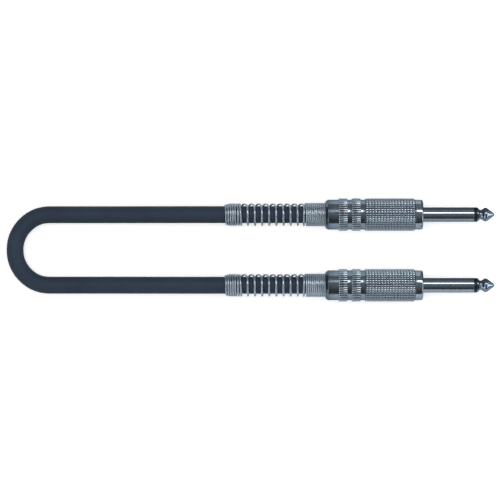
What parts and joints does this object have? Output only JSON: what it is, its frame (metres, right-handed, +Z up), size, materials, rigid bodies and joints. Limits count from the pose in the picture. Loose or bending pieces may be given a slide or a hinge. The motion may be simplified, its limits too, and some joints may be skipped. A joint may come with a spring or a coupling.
{
  "type": "instrument cable",
  "caption": "Short shielded audio cable bent in a U, with a straight plug at each end, knurled screw-on shells and spring guards.",
  "frame": {"origin": "middle of the two plugs' box, on the surface that the shells lie on; the cable isn't counted", "axes": "+X along both plugs towards their tips, +Y from plug b to plug a, +Z up from the surface"},
  "size_m": [0.2124, 0.045, 0.0142],
  "materials": {
    "nickel_contact": "bright nickel plate on turned brass",
    "nickel_shell": "nickel plate on knurled brass, darker in the knurl",
    "spring_wire": "plated spring steel wire",
    "tinned_lug": "tin plate on stamped brass",
    "solder": "dull solder",
    "black_insulator": "moulded black plastic",
    "fibre_washer": "pressed brown fibre",
    "clear_sleeving": "milky plastic tube",
    "copper_wire": "bare copper strands",
    "copper_braid": "bare copper braid",
    "core_plastic": "natural polyethylene",
    "carbon_plastic": "conductive black plastic",
    "cable_jacket": "matt blue-black flexible jacket"
  },
  "bodies": {
    "root": {"plug_tip_a": "nickel_contact", "tip_insulator_a": "black_insulator", "plug_body_a": "nickel_contact", "ground_lug_a": "tinned_lug", "rear_washer_a": "fibre_washer", "tip_lug_a": "tinned_lug", "solder_tip_a": "solder", "solder_ground_a": "solder", "plug_tip_b": "nickel_contact", "tip_insulator_b": "black_insulator", "plug_body_b": "nickel_contact", "ground_lug_b": "tinned_lug", "rear_washer_b": "fibre_washer", "tip_lug_b": "tinned_lug", "solder_tip_b": "solder", "solder_ground_b": "solder", "cable_conductor": "copper_wire", "cable_core_insulation": "core_plastic", "cable_carbon_layer": "carbon_plastic", "cable_shield": "copper_braid", "cable_jacket": "cable_jacket"},
    "carrier_a": {"spring_a": "spring_wire", "insulating_tube_a": "clear_sleeving"},
    "shell_a": {"shell_a": "nickel_shell"},
    "carrier_b": {"spring_b": "spring_wire", "insulating_tube_b": "clear_sleeving"},
    "shell_b": {"shell_b": "nickel_shell"}
  },
  "joints": [
    {"name": "shell_a_travel", "type": "slide", "parent": "root", "child": "carrier_a", "axis": [-1, 0, 0], "range_m": [0, 0.007]},
    {"name": "shell_a_turn", "type": "hinge", "parent": "carrier_a", "child": "shell_a", "pos_m": [0, 0.01535, 0.0071], "axis": [-1, 0, 0], "range_deg": [0, 2521]},
    {"name": "shell_b_travel", "type": "slide", "parent": "root", "child": "carrier_b", "axis": [-1, 0, 0], "range_m": [0, 0.007]},
    {"name": "shell_b_turn", "type": "hinge", "parent": "carrier_b", "child": "shell_b", "pos_m": [0, -0.01535, 0.0071], "axis": [-1, 0, 0], "range_deg": [0, 2521]}
  ],
  "couplings": [
    {"joint": "shell_a_turn", "follows": "shell_a_travel", "rad_per_m": 6283.2},
    {"joint": "shell_b_turn", "follows": "shell_b_travel", "rad_per_m": 6283.2}
  ]
}
